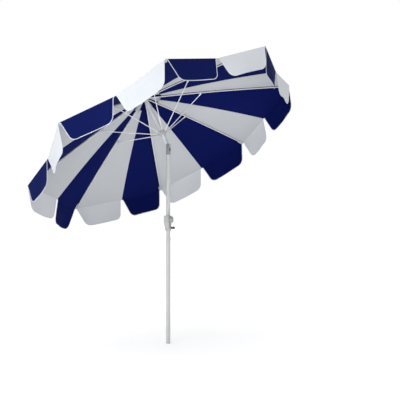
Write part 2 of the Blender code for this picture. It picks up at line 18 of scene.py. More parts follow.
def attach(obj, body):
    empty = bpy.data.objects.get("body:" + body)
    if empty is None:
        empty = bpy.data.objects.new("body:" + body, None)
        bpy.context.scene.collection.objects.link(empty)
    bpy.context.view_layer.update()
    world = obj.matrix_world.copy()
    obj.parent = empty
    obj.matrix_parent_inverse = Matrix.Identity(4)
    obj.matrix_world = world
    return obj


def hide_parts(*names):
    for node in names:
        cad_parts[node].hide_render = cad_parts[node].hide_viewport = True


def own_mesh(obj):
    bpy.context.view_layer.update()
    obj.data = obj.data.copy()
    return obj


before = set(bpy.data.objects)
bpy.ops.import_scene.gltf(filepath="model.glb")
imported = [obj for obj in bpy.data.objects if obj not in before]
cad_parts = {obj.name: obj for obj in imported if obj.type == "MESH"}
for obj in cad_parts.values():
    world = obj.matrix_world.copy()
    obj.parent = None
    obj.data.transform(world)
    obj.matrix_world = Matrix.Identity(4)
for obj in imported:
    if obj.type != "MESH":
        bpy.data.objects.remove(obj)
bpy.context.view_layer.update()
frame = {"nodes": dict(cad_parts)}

LOG = logging.getLogger("beach_umbrella")
Colour = tuple[float, float, float]
Socket = bpy.types.NodeSocket
Material = bpy.types.Material
Piece = bpy.types.Object
Nodes = dict[str, Piece]


class Side(Enum):
    """The two panels that hang from one rib, by the side of the rib they lie on."""

    NAVY = 1
    WHITE = -1


class Layer(Enum):
    """The maps that a piece of cloth carries."""

    WEAVE = "weave"
    SEAM = "seam"


# Finishes ---------------------------------------------------------------------------------------


class NodeBoard:
    """One material being wired up, with short calls for the nodes that the finishes share."""

    def __init__(self, name: str) -> None:
        """Start a material of that name with its one Principled shader."""
        self.material = bpy.data.materials.new(name)
        self.material.use_nodes = True
        self.tree = self.material.node_tree
        self.shader = self.tree.nodes["Principled BSDF"]

    def put(self, target: Socket, value: object) -> None:
        """Wire a socket to another one, or set its plain value.

        Args:
            target: the input socket.
            value: an output socket, or a number, vector or colour.
        """
        if isinstance(value, Socket):
            self.tree.links.new(value, target)
        else:
            target.default_value = value

    def shade(self, **values: object) -> None:
        """Set the shader's inputs, with spaces in their names written as underscores.

        Args:
            values: input name to a socket or a plain value.
        """
        for name, value in values.items():
            self.put(self.shader.inputs[name.replace("_", " ")], value)

    def math(
        self, kind: str, first: object, second: object = 0.0, third: object = 0.0,
    ) -> Socket:
        """One sum.

        Args:
            kind: the operation, such as "MULTIPLY".
            first: the first number or socket.
            second: the second number or socket.
            third: the third number or socket, where the operation has one.

        Returns:
            The result's socket.
        """
        node = self.tree.nodes.new("ShaderNodeMath")
        node.operation = kind
        for socket, value in zip(node.inputs, (first, second, third)):
            self.put(socket, value)
        return node.outputs[0]

    def blend(self, share: object, first: object, second: object) -> Socket:
        """A mix of two colours.

        Args:
            share: how much of the second colour, from 0 to 1.
            first: the first colour or socket.
            second: the second colour or socket.

        Returns:
            The mixed colour's socket.
        """
        node = self.tree.nodes.new("ShaderNodeMix")
        node.data_type = "RGBA"
        self.put(node.inputs["Factor"], share)
        for name, value in (("A", first), ("B", second)):
            socket = [s for s in node.inputs if s.name == name and s.type == "RGBA"][0]
            self.put(socket, (*value, 1.0) if isinstance(value, tuple) else value)
        return [s for s in node.outputs if s.type == "RGBA"][0]

    def spread(
        self, value: object, low: float, high: float, out_low: float, out_high: float,
    ) -> Socket:
        """A number moved from one range into another, and kept inside it.

        Args:
            value: the socket to move.
            low: where the first range starts.
            high: where it ends.
            out_low: what the start becomes.
            out_high: what the end becomes.

        Returns:
            The moved number's socket.
        """
        node = self.tree.nodes.new("ShaderNodeMapRange")
        for socket, number in zip(node.inputs, (value, low, high, out_low, out_high)):
            self.put(socket, number)
        return node.outputs[0]

    def place(self, stretch: Colour = (1.0, 1.0, 1.0)) -> Socket:
        """Where a point of the piece is, in metres, stretched along each axis."""
        spot = self.tree.nodes.new("ShaderNodeTexCoord").outputs["Object"]
        node = self.tree.nodes.new("ShaderNodeVectorMath")
        node.operation = "MULTIPLY"
        self.put(node.inputs[0], spot)
        node.inputs[1].default_value = stretch
        return node.outputs[0]

    def grain(self, spot: object, size: float, detail: float = 2.0) -> Socket:
        """Soft noise with features of about that size.

        Args:
            spot: the place it is read at.
            size: the size of its features in metres.
            detail: how much finer noise is laid over it.

        Returns:
            The noise, from 0 to 1.
        """
        node = self.tree.nodes.new("ShaderNodeTexNoise")
        self.put(node.inputs["Vector"], spot)
        node.inputs["Scale"].default_value = 1.0 / size
        node.inputs["Detail"].default_value = detail
        return node.outputs["Fac"]

    def map_of(self, layer: Layer) -> tuple[Socket, Socket]:
        """The two numbers that a cloth's map holds at a point."""
        node = self.tree.nodes.new("ShaderNodeUVMap")
        node.uv_map = layer.value
        parts = self.tree.nodes.new("ShaderNodeSeparateXYZ")
        self.put(parts.inputs[0], node.outputs[0])
        return parts.outputs[0], parts.outputs[1]

    def split(self, spot: object) -> tuple[Socket, ...]:
        """The three numbers of a place."""
        parts = self.tree.nodes.new("ShaderNodeSeparateXYZ")
        self.put(parts.inputs[0], spot)
        return tuple(parts.outputs)

    def emboss(self, height: object, depth: float, strength: float = 0.6) -> None:
        """Raise the surface by a height map.

        Args:
            height: the map's socket.
            depth: the height in metres of a value of 1.
            strength: how strongly it shows.
        """
        node = self.tree.nodes.new("ShaderNodeBump")
        node.inputs["Strength"].default_value = strength
        node.inputs["Distance"].default_value = depth
        self.put(node.inputs["Height"], height)
        self.put(self.shader.inputs["Normal"], node.outputs[0])


@dataclass(frozen=True)
class ClothFinish:
    """Woven polyester with two rows of stitching beside every seam and hem."""

    name: str
    raised: Colour
    # Colour of the weave's hollows, darker as painted shade; also used for the patchy darkening along seams
    # and hems.
    hollow: Colour
    faded: Colour
    thread: Colour
    sheen: float = 0.03
    gloss: float = 0.20
    weave: float = 0.0011
    stitch: float = 0.0042
    thread_half: float = 0.0005
    rows: tuple[float, ...] = (0.0030, 0.0072)

    def make(self) -> Material:
        """The material: weave with painted shade in its hollows, slubs, sun-faded patches, patchy darkening
        along seams and hems, and the stitching.
        """
        board = NodeBoard(self.name)
        across, along = board.map_of(Layer.WEAVE)
        turn = 2 * math.pi / self.weave
        warp = board.math("SINE", board.math("MULTIPLY", across, turn))
        weft = board.math("SINE", board.math("MULTIPLY", along, turn))
        knit = board.spread(board.math("MULTIPLY", warp, weft), -1.0, 1.0, 0.0, 1.0)
        patches = board.grain(board.place(), 0.34, 3.0)
        slub = board.grain(board.place((1.0, 1.0, 0.25)), 0.006, 2.0)
        away, down = board.map_of(Layer.SEAM)
        dash = board.math("LESS_THAN", board.math("FRACT", board.math("DIVIDE", down, self.stitch)), 0.70)
        sewn: object = 0.0
        for row in self.rows:
            gap = board.math("ABSOLUTE", board.math("SUBTRACT", away, row))
            line = board.math("LESS_THAN", gap, self.thread_half)
            sewn = board.math("MAXIMUM", sewn, board.math("MULTIPLY", line, dash))
        # Painted shade: the hollows between the threads are coloured darker than the raised threads.
        base = board.blend(knit, self.hollow, self.raised)
        base = board.blend(board.spread(patches, 0.35, 0.75, 0.0, 0.55), base, self.faded)
        base = board.blend(board.spread(slub, 0.55, 0.80, 0.0, 0.35), base, self.raised)
        # Patchy darkening along every seam and hem.
        edge = board.math("MULTIPLY", board.spread(away, 0.0, 0.012, 0.45, 0.0), patches)
        base = board.blend(edge, base, self.hollow)
        board.shade(
            Base_Color=board.blend(sewn, base, self.thread),
            Roughness=board.spread(board.math("ADD", patches, slub), 0.6, 1.4, 0.72, 0.90),
            Sheen_Weight=self.sheen, Sheen_Roughness=0.45, Specular_IOR_Level=self.gloss,
        )
        height = board.math("MULTIPLY_ADD", knit, 0.30, board.math("MULTIPLY", slub, 0.45))
        board.emboss(board.math("ADD", height, sewn), 0.00035)
        return board.material


@dataclass(frozen=True)
class TapeFinish:
    """Ribbed binding tape, sewn down along its middle."""

    name: str
    colour: Colour
    # Darker colour: painted shade in the rib grooves, and the grime.
    painted_shade_and_grime: Colour
    pitch: float = 0.0016

    def make(self) -> Material:
        """The material: cross ribs with painted shade in their grooves, a stitched line and a little grime.
        """
        board = NodeBoard(self.name)
        away, along = board.map_of(Layer.SEAM)
        ribs = board.math("SINE", board.math("MULTIPLY", along, 2 * math.pi / self.pitch))
        ribs = board.spread(ribs, -1.0, 1.0, 0.0, 1.0)
        dash = board.math("LESS_THAN", board.math("FRACT", board.math("DIVIDE", along, 0.004)), 0.7)
        line = board.math("LESS_THAN", board.math("ABSOLUTE", board.math("SUBTRACT", away, 0.5)), 0.06)
        sewn = board.math("MULTIPLY", dash, line)
        grime = board.grain(board.place(), 0.05, 3.0)
        # Painted shade: the grooves between the ribs are coloured darker.
        base = board.blend(board.spread(ribs, 0.0, 1.0, 0.25, 0.0), self.colour, self.painted_shade_and_grime)
        base = board.blend(board.spread(grime, 0.5, 0.8, 0.0, 0.30), base, self.painted_shade_and_grime)
        board.shade(
            Base_Color=base, Roughness=board.spread(grime, 0.3, 0.7, 0.65, 0.85),
            Sheen_Weight=0.1, Specular_IOR_Level=0.3,
        )
        board.emboss(board.math("SUBTRACT", ribs, board.math("MULTIPLY", sewn, 1.6)), 0.0003)
        return board.material


@dataclass(frozen=True)
class CoatedMetalFinish:
    """Steel tube in baked white coating, scuffed where it goes into the sand."""

    name: str
    colour: Colour
    shade: Colour
    scuff: Colour
    scuff_height: float = 0.0

    def make(self) -> Material:
        """The material: faint orange peel, drifting tone, rub marks and scuffs near the foot."""
        board = NodeBoard(self.name)
        tone = board.grain(board.place(), 0.11, 3.0)
        peel = board.grain(board.place(), 0.0022, 1.0)
        rub = board.grain(board.place((1.0, 1.0, 0.06)), 0.0045, 4.0)
        base = board.blend(board.spread(tone, 0.35, 0.70, 0.0, 0.6), self.colour, self.shade)
        base = board.blend(board.spread(rub, 0.60, 0.72, 0.0, 0.35), base, self.shade)
        if self.scuff_height:
            low = board.spread(board.split(board.place())[2], 0.0, self.scuff_height, 1.0, 0.0)
            worn = board.math("MULTIPLY", low, board.spread(rub, 0.46, 0.62, 0.0, 0.8))
            base = board.blend(worn, base, self.scuff)
        board.shade(
            Base_Color=base, Roughness=board.spread(board.math("ADD", tone, rub), 0.7, 1.3, 0.26, 0.46),
            Metallic=0.0, Coat_Weight=0.25, Coat_Roughness=0.18, Specular_IOR_Level=0.5,
        )
        board.emboss(board.math("MULTIPLY_ADD", rub, 0.5, peel), 0.00008, 0.5)
        return board.material


@dataclass(frozen=True)
class MouldedFinish:
    """Moulded plastic with a fine spark-eroded texture."""

    name: str
    colour: Colour
    shade: Colour
    roughness: tuple[float, float] = (0.42, 0.60)

    def make(self) -> Material:
        """The material: pebbled skin, flow marks and a drift in tone."""
        board = NodeBoard(self.name)
        flow = board.grain(board.place((1.0, 1.0, 0.4)), 0.018, 3.0)
        pebble = board.grain(board.place(), 0.0009, 2.0)
        base = board.blend(board.spread(flow, 0.35, 0.70, 0.0, 0.7), self.colour, self.shade)
        base = board.blend(board.spread(pebble, 0.55, 0.75, 0.0, 0.15), base, self.shade)
        board.shade(
            Base_Color=base, Roughness=board.spread(flow, 0.3, 0.7, *self.roughness),
            Specular_IOR_Level=0.45,
        )
        board.emboss(board.math("MULTIPLY_ADD", flow, 0.3, pebble), 0.00012, 0.5)
        return board.material


@dataclass(frozen=True)
class SteelFinish:
    """Bright drawn steel with fine lines along it."""

    name: str
    colour: Colour = (0.62, 0.62, 0.63)

    def make(self) -> Material:
        """The material: drawn lines and a dull bloom."""
        board = NodeBoard(self.name)
        lines = board.grain(board.place((1.0, 1.0, 0.08)), 0.0012, 3.0)
        bloom = board.grain(board.place(), 0.012, 3.0)
        dull = tuple(0.72 * part for part in self.colour)
        board.shade(
            Base_Color=board.blend(board.spread(bloom, 0.4, 0.75, 0.0, 0.6), self.colour, dull),
            Roughness=board.spread(board.math("ADD", lines, bloom), 0.7, 1.3, 0.24, 0.44), Metallic=1.0,
        )
        board.emboss(lines, 0.00005, 0.4)
        return board.material


@dataclass(frozen=True)
class BraidFinish:
    """Braided cord of crossing strands."""

    name: str
    colour: Colour
    painted_groove_shade: Colour
    strand: float = 0.0016

    def make(self) -> Material:
        """The material: two slanting sets of strands, with painted shade in the grooves between them, and a
        little fuzz.
        """
        board = NodeBoard(self.name)
        east, north, up = board.split(board.place())
        round_it = board.math("ADD", east, north)
        turn = 2 * math.pi / self.strand
        left = board.math("SINE", board.math("MULTIPLY", board.math("ADD", up, round_it), turn))
        right = board.math("SINE", board.math("MULTIPLY", board.math("SUBTRACT", up, round_it), turn))
        plait = board.spread(board.math("MULTIPLY", left, right), -1.0, 1.0, 0.0, 1.0)
        fuzz = board.grain(board.place(), 0.0007, 2.0)
        board.shade(
            # Painted shade: the grooves between the strands are coloured darker.
            Base_Color=board.blend(plait, self.painted_groove_shade, self.colour),
            Roughness=board.spread(fuzz, 0.3, 0.7, 0.75, 0.95), Sheen_Weight=0.15,
        )
        board.emboss(board.math("MULTIPLY_ADD", fuzz, 0.3, plait), 0.0003)
        return board.material


class Finish(Protocol):
    """Anything that can make a material."""

    def make(self) -> Material:
        """The material."""


def made_of(finish: Finish) -> Material:
    """A dataclass field that starts as the finish's material."""
    return field(default_factory=finish.make)


@dataclass
class Wardrobe:
    """Every finish of the umbrella, made once."""

    navy: Material = made_of(ClothFinish(
        "navy_polyester", (0.0050, 0.0096, 0.0800), (0.0032, 0.0064, 0.0600), (0.0065, 0.0115, 0.0870),
        (0.014, 0.020, 0.110), 0.002, 0.03,
    ))
    white: Material = made_of(ClothFinish(
        "white_polyester", (0.615, 0.645, 0.685), (0.565, 0.590, 0.630), (0.595, 0.620, 0.655),
        (0.69, 0.71, 0.74),
    ))
    # Back of the navy cloth: the same polyester painted darker, a painted shade for the canopy's underside.
    navy_shaded_back: Material = made_of(ClothFinish(
        "navy_polyester_painted_shade_back", (0.0034, 0.0074, 0.0800), (0.0022, 0.0050, 0.0620), (0.0044, 0.0086, 0.0850),
        (0.009, 0.013, 0.085), 0.001, 0.02,
    ))
    # Back of the white cloth: the same polyester painted darker, a painted shade for the canopy's underside.
    white_shaded_back: Material = made_of(ClothFinish(
        "white_polyester_painted_shade_back", (0.492, 0.510, 0.530), (0.443, 0.460, 0.478), (0.470, 0.488, 0.504),
        (0.57, 0.58, 0.59),
    ))
    # Back of the white flaps: the same polyester painted lighter, a painted light on the flaps' inner faces.
    white_flap_lit_back: Material = made_of(ClothFinish(
        "white_polyester_flap_painted_light_back", (0.680, 0.700, 0.728), (0.625, 0.643, 0.670), (0.652, 0.671, 0.698),
        (0.66, 0.68, 0.70),
    ))
    tape: Material = made_of(TapeFinish(
        "white_binding", (0.62, 0.65, 0.70), (0.48, 0.51, 0.57),
    ))
    pole_coat: Material = made_of(CoatedMetalFinish(
        "white_pole_coating", (0.560, 0.565, 0.570), (0.505, 0.510, 0.515), (0.33, 0.31, 0.28), 0.30,
    ))
    rib_coat: Material = made_of(CoatedMetalFinish(
        "white_rib_coating", (0.74, 0.75, 0.77), (0.67, 0.68, 0.70), (0.48, 0.47, 0.45),
    ))
    pale_plastic: Material = made_of(MouldedFinish(
        "pale_moulding", (0.470, 0.475, 0.480), (0.425, 0.430, 0.435),
    ))
    bright_plastic: Material = made_of(MouldedFinish(
        "bright_moulding", (0.66, 0.69, 0.74), (0.60, 0.63, 0.68),
    ))
    grey_plastic: Material = made_of(MouldedFinish(
        "grey_moulding", (0.350, 0.355, 0.360), (0.290, 0.295, 0.300),
    ))
    slate_plastic: Material = made_of(MouldedFinish(
        "slate_moulding", (0.260, 0.264, 0.270), (0.215, 0.219, 0.225), (0.40, 0.56),
    ))
    dark_plastic: Material = made_of(MouldedFinish(
        "dark_moulding", (0.060, 0.061, 0.064), (0.040, 0.041, 0.044), (0.38, 0.55),
    ))
    steel: Material = made_of(SteelFinish("drawn_steel"))
    braid: Material = made_of(BraidFinish(
        "white_braid", (0.62, 0.62, 0.61), (0.42, 0.42, 0.41),
    ))

    @property
    def cloths(self) -> tuple[Material, ...]:
        """The two panel cloths, their backs in the same order painted darker as painted shade, and the backs
        of the flaps: the navy painted-shade back and a white back painted lighter as painted light.
        """
        return self.navy, self.white, self.navy_shaded_back, self.white_shaded_back, self.navy_shaded_back, self.white_flap_lit_back


def dress(nodes: Nodes, names: Iterable[str], finish: Material) -> None:
    """Give carried-over parts their finish.

    Args:
        nodes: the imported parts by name.
        names: the parts to dress.
        finish: their material.
    """
    for name in names:
        part = nodes[name]
        if not part.material_slots:
            part.data.materials.append(finish)
        for slot in part.material_slots:
            slot.material = finish


# Cloth meshes -----------------------------------------------------------------------------------


def unit(rows: np.ndarray) -> np.ndarray:
    """Vectors brought to length one."""
    return rows / np.maximum(np.linalg.norm(rows, axis=-1, keepdims=True), 1e-12)


def facing(grid: np.ndarray, looped: bool = False) -> np.ndarray:
    """The way a grid of points faces, at each point.

    Args:
        grid: rows of points.
        looped: whether the last column joins the first.

    Returns:
        Unit vectors in the same layout.
    """
    if looped:
        wide = np.concatenate((grid[:, -1:], grid, grid[:, :1]), axis=1)
        across = np.gradient(wide, axis=1)[:, 1:-1]
    else:
        across = np.gradient(grid, axis=1)
    return unit(np.cross(np.gradient(grid, axis=0), across))


def upwards(out: np.ndarray) -> np.ndarray:
    """Facings turned over, if need be, so that they look up on the whole."""
    return out if out[..., 2].mean() > 0 else -out


def eased(share: np.ndarray) -> np.ndarray:
    """A share from 0 to 1 that starts and ends gently."""
    share = np.clip(share, 0, 1)
    return share * share * (3 - 2 * share)


def ripple(grid: np.ndarray, size: float, seed: float) -> np.ndarray:
    """Smooth noise over a grid of points, from about -1 to 1.

    Args:
        grid: rows of points.
        size: the size of its features in metres.
        seed: which noise it is.

    Returns:
        One number for each point.
    """
    flat = grid.reshape(-1, 3) / size + seed
    return np.array([noise.noise(Vector(spot)) for spot in flat]).reshape(grid.shape[:2])


class SewnMesh:
    """Cloth patches and binding gathered into one mesh, with its maps and finishes."""

    def __init__(self, name: str, finishes: Sequence[Material]) -> None:
        """Start an empty mesh of that name, dressed in these finishes."""
        self.name = name
        self.finishes = list(finishes)
        self.points: list[np.ndarray] = []
        self.maps: dict[Layer, list[np.ndarray]] = {layer: [] for layer in Layer}
        self.faces: list[tuple[int, ...]] = []
        self.slots: list[int] = []
        self.count = 0

    def _take(self, points: np.ndarray, weave: np.ndarray, seam: np.ndarray) -> int:
        """Add points with their two maps, and say where they start."""
        start = self.count
        self.points.append(points.reshape(-1, 3))
        self.maps[Layer.WEAVE].append(weave.reshape(-1, 2))
        self.maps[Layer.SEAM].append(seam.reshape(-1, 2))
        self.count += self.points[-1].shape[0]
        return start

    def patch(
        self, grid: np.ndarray, weave: np.ndarray, seam: np.ndarray, slots: np.ndarray,
        thickness: float, looped: bool = False, back: int = 2, outer: Sequence[float] = (0.0, 0.0, 1.0),
    ) -> None:
        """Add a closed patch of cloth of that thickness around a grid of points.

        Args:
            grid: rows of points at mid-thickness.
            weave: where each point lies in the flat cloth, in metres.
            seam: its distance from the nearest seam, and its place along it.
            slots: the finish of each column of faces.
            thickness: the cloth's thickness in metres.
            looped: whether the last column joins the first.
            back: how many finishes after a column's own one its back comes.
            outer: roughly the way the cloth's outside faces.
        """
        out = facing(grid, looped) * (thickness / 2)
        if (out @ np.array(outer)).sum() < 0:
            grid, weave, seam, slots = grid[:, ::-1], weave[:, ::-1], seam[:, ::-1], slots[::-1]
            out = -out[:, ::-1]
        rows, columns = grid.shape[:2]
        upper = self._take(grid + out, weave, seam)
        under = self._take(grid - out, weave, seam)
        steps = columns if looped else columns - 1
        for row in range(rows - 1):
            for column in range(steps):
                after = (column + 1) % columns
                a, b = row * columns + column, row * columns + after
                c, d = a + columns, b + columns
                self.faces.append((upper + a, upper + c, upper + d, upper + b))
                self.faces.append((under + a, under + b, under + d, under + c))
                self.slots += [int(slots[column]), int(slots[column]) + back]
        for row, flip in ((0, False), (rows - 1, True)):
            for column in range(steps):
                a, b = row * columns + column, row * columns + (column + 1) % columns
                rim = (upper + a, upper + b, under + b, under + a)
                self.faces.append(rim[::-1] if flip else rim)
                self.slots.append(int(slots[column]))
        if looped:
            return
        for column, flip in ((0, True), (columns - 1, False)):
            for row in range(rows - 1):
                a, b = row * columns + column, (row + 1) * columns + column
                rim = (upper + a, upper + b, under + b, under + a)
                self.faces.append(rim[::-1] if flip else rim)
                self.slots.append(int(slots[min(column, steps - 1)]))

    def binding(
        self, path: np.ndarray, inward: np.ndarray, out: np.ndarray, half: float, thick: float,
        slot: int = 0, looped: bool = False, sides: int = 12,
    ) -> None:
        """Add a folded tape along an edge.

        Args:
            path: the points of the edge.
            inward: the way into the cloth at each point.
            out: the way the cloth faces at each point.
            half: half the tape's width in metres.
            thick: half its thickness in metres.
            slot: its finish.
            looped: whether the edge closes on itself.
            sides: how many faces go round the tape.
        """
        turns = np.arange(sides) * 2 * math.pi / sides
        squared = np.abs(np.cos(turns)) ** 0.8 * np.sign(np.cos(turns))
        rings = (
            path[:, None] + inward[:, None] * (half * (0.70 + squared))[None, :, None]
            + out[:, None] * (thick * np.sin(turns))[None, :, None]
        )
        along = np.concatenate(([0.0], np.cumsum(np.linalg.norm(np.diff(path, axis=0), axis=1))))
        place = np.stack(np.broadcast_arrays(squared[None] / 2 + 0.5, along[:, None]), axis=-1)
        start = self._take(rings, place, place)
        count = len(path)
        for ring in range(count if looped else count - 1):
            after = (ring + 1) % count
            for side in range(sides):
                beside = (side + 1) % sides
                self.faces.append((
                    start + ring * sides + side, start + ring * sides + beside,
                    start + after * sides + beside, start + after * sides + side,
                ))
                self.slots.append(slot)
        if not looped:
            self.faces.append(tuple(start + side for side in range(sides))[::-1])
            self.faces.append(tuple(start + (count - 1) * sides + side for side in range(sides)))
            self.slots += [slot, slot]

    def finish(self, place: Matrix) -> Piece:
        """Make the object.

        Args:
            place: the frame that the points were given in.

        Returns:
            The object, in the scene.
        """
        turn = np.array(place)
        points = np.concatenate(self.points) @ turn[:3, :3].T + turn[:3, 3]
        mesh = bpy.data.meshes.new(self.name)
        mesh.from_pydata(points.tolist(), [], self.faces)
        for material in self.finishes:
            mesh.materials.append(material)
        mesh.polygons.foreach_set("material_index", self.slots)
        corners = np.empty(len(mesh.loops), np.int32)
        mesh.loops.foreach_get("vertex_index", corners)
        for layer in Layer:
            values = np.concatenate(self.maps[layer])[corners]
            mesh.uv_layers.new(name=layer.value).data.foreach_set("uv", values.astype(np.float32).ravel())
        mesh.shade_smooth()
        mesh.set_sharp_from_angle(angle=math.radians(50))
        mesh.validate()
        made = bpy.data.objects.new(self.name, mesh)
        bpy.context.scene.collection.objects.link(made)
        return made


# Shape of the canopy ----------------------------------------------------------------------------


@dataclass(frozen=True)
class Lean:
    """How the mast leans over at the tilt joint."""

    pivot_height: float = 1.720
    angle: float = math.radians(31.5)
    direction: float = math.radians(141.0)

    @property
    def turn(self) -> Matrix:
        """The rotation of everything above the joint."""
        hinge = Vector((-math.sin(self.direction), math.cos(self.direction), 0.0))
        return Matrix.Rotation(self.angle, 4, hinge)

    @property
    def mast(self) -> Matrix:
        """The mast's own frame, with the tilt pivot at its origin."""
        return Matrix.Translation((0.0, 0.0, self.pivot_height)) @ self.turn

    @property
    def plumb(self) -> Vector:
        """Straight down, as the mast's frame has it."""
        return self.turn.to_3x3().inverted() @ Vector((0.0, 0.0, -1.0))


@dataclass(frozen=True)
class CanopyShape:
    """The canopy's surface in the mast's frame."""

    ribs: int = 8
    first: float = math.radians(141.0)
    hub_height: float = 0.498
    hub_radius: float = 0.026
    rim_radius: float = 1.251
    rim_drop: float = 0.388
    rib_arch: float = 0.012
    seam_radius: float = 1.119
    seam_drop: float = 0.419
    seam_arch: float = 0.022
    lift: float = 0.0105
    vent_radius: float = 0.15

    def rib_angle(self, number: int) -> float:
        """Where a rib points, counted from the one that lies down the lean."""
        return self.first + 2 * math.pi * number / self.ribs

    def _at(self, radius: np.ndarray, drop: np.ndarray, angle: float) -> np.ndarray:
        """Points at a radius, a drop below the hub and a direction."""
        height = self.hub_height + self.lift - drop
        return np.stack((radius * math.cos(angle), radius * math.sin(angle), height), axis=-1)

    def over_rib(self, share: np.ndarray, angle: float) -> np.ndarray:
        """Points of the cloth over a rib.

        Args:
            share: how far out they are, 1 being the rim.
            angle: the rib's direction.

        Returns:
            The points.
        """
        radius = self.rim_radius * share
        along = (radius - self.hub_radius) / (self.rim_radius - self.hub_radius)
        drop = self.rim_drop * along - 4 * self.rib_arch * along * (1 - along)
        return self._at(radius, drop, angle)

    def over_gap(self, share: np.ndarray, angle: float) -> np.ndarray:
        """Points of the seam half way between two ribs.

        Args:
            share: how far out they are, 1 being the rim.
            angle: the seam's direction.

        Returns:
            The points.
        """
        radius = self.seam_radius * share
        drop = self.seam_drop * share - 4 * self.seam_arch * share * (1 - share)
        return self._at(radius, drop, angle)


@dataclass
class Canopy:
    """The canopy: eight gores, each a navy and a white panel with the flap that hangs from it."""

    lean: Lean
    shape: CanopyShape
    wardrobe: Wardrobe
    cloth: float = 0.0009
    rows: int = 110
    columns: int = 13
    seam_stops: tuple[float, ...] = (0.0, 0.0020, 0.0046, 0.0062, 0.0100)
    lap: float = 0.005
    seam_rise: float = 0.0010
    lap_rise: float = 0.0003
    seam_width: float = 0.0080
    seam_slope: float = 0.0030
    sag: float = 0.010
    rim_hold: float = 0.09
    billow: float = 0.0022
    billow_size: float = 0.26
    crease: float = 0.0007
    crease_size: float = 0.055
    pull: float = 0.0019
    pull_folds: float = 15.0
    pull_reach: float = 0.20
    pull_fade: float = 0.05
    pucker: float = 0.00045
    pucker_pitch: float = 0.021
    pucker_from: float = 0.009
    pucker_fade: float = 0.03
    rim_rows: int = 24
    rim_calm: float = 0.55
    flap_length: float = 0.185
    flap_top: float = 0.004
    flap_waves: float = 1.15
    roll_out: float = 0.0012
    hang_out: float = 0.0022
    hem_line: float = 0.006
    flap_inset: float = 0.013
    flap_taper: float = 0.30
    flap_corner: float = 0.045
    flap_swing: tuple[float, float] = (-2.0, 3.5)
    flap_wave: tuple[float, float] = (0.005, 0.010)
    flap_belly: float = 0.012
    flap_columns: int = 27
    flap_rows: int = 18
    corner_rows: int = 12
    edge_points: int = 96
    plumb_share: float = 0.35
    tuck: float = 0.006
    tuck_share: float = 0.45
    tuck_depth: float = 1.4
    blown: tuple[tuple[int, Side, float], ...] = (
        (0, Side.NAVY, 30.0), (1, Side.WHITE, 15.0), (4, Side.NAVY, -19.0), (5, Side.WHITE, -15.0),
    )
    tape_half: float = 0.0030
    tape_thick: float = 0.0014
    fold_keep: float = 0.936
    pouch_from: float = 0.956
    pouch_to: float = 0.9985
    pouch_half: float = 0.019
    pouch_gap: float = 0.0022
    pouch_depth: float = 0.0170
    pouch_bulge: float = 0.0165
    pouch_rows: int = 15
    pouch_columns: int = 21

    def _panel(self, number: int, side: Side) -> tuple[np.ndarray, np.ndarray, np.ndarray]:
        """One panel from the rib's seam outwards.

        Args:
            number: the rib, from 0.
            side: which of its panels.

        Returns:
            The points in rows, their distance from the rib's seam and from the free seam.
        """
        angle = self.shape.rib_angle(number)
        half = side.value * math.pi / self.shape.ribs
        start = self.shape.vent_radius / self.shape.rim_radius
        share = np.linspace(start, 1.0, self.rows)
        rib = self.shape.over_rib(share, angle)
        gap = self.shape.over_gap(share, angle + half)
        width = np.linalg.norm(gap - rib, axis=1)[:, None]
        stops = np.array(self.seam_stops)[None]
        inner = stops / width
        middle = inner[:, -1:] + (1 - 2 * inner[:, -1:]) * np.linspace(0, 1, self.columns)[None, 1:-1]
        across = np.concatenate((inner, middle, 1 - inner[:, ::-1]), axis=1)
        grid = rib[:, None] * (1 - across[..., None]) + gap[:, None] * across[..., None]
        if side is Side.NAVY:
            beyond = self.shape.over_rib(share, angle + 2 * half)
            step = self.lap / width
            grid = np.concatenate((grid, (gap * (1 - step) + beyond * step)[:, None]), axis=1)
            across = np.concatenate((across, 1 + step), axis=1)
        return grid, across * width, (1 - across) * width

    def _relief(
        self, grid: np.ndarray, near: np.ndarray, far: np.ndarray, number: int, side: Side,
    ) -> np.ndarray:
        """How far the cloth stands off its ruled surface, at each point of a panel.

        Args:
            grid: the panel's points in rows.
            near: their distance from the rib's seam.
            far: their distance from the free seam.
            number: the rib, from 0.
            side: which of its panels.

        Returns:
            The offset of each point in metres.
        """
        down = np.linspace(0.0, 1.0, grid.shape[0])[:, None]
        to_rim = (1 - down) * (self.shape.rim_radius - self.shape.vent_radius)
        across = near / np.maximum(near + far, 1e-9)
        seed = 3.1 * number + (17.0 if side is Side.WHITE else 0.0)
        hold = 4 * np.clip(across * (1 - across), 0, 1)
        loose = hold * (1 - np.exp(-to_rim / self.rim_hold))
        off = -self.sag * np.sin(math.pi * np.clip(across, 0, 1)) * np.sin(math.pi * down ** 1.2) ** 0.7
        off = off + self.billow * ripple(grid, self.billow_size, seed) * loose
        off = off + self.crease * ripple(grid, self.crease_size, seed + 9) * loose
        reach = np.hypot(near, to_rim)
        turn = self.pull_folds * np.arctan2(near, to_rim + 1e-4)
        fan = np.sin(turn + seed) * np.exp(-reach / self.pull_reach)
        off = off + self.pull * fan * hold * (1 - np.exp(-to_rim / self.pull_fade))
        beat = np.sin(2 * math.pi * to_rim / self.pucker_pitch + 2.2 * ripple(grid, 0.12, seed + 4))
        beside = np.exp(-np.abs(np.minimum(near, np.abs(far)) - self.pucker_from) / self.seam_width)
        off = off + self.pucker * beat * beside * np.clip(to_rim / self.pucker_fade, 0, 1)
        off = off + self.seam_rise * eased((self.seam_width - near) / self.seam_slope)
        if side is Side.NAVY:
            off = off + (self.seam_rise + self.lap_rise) * eased((self.seam_width - far) / self.seam_slope)
        return off

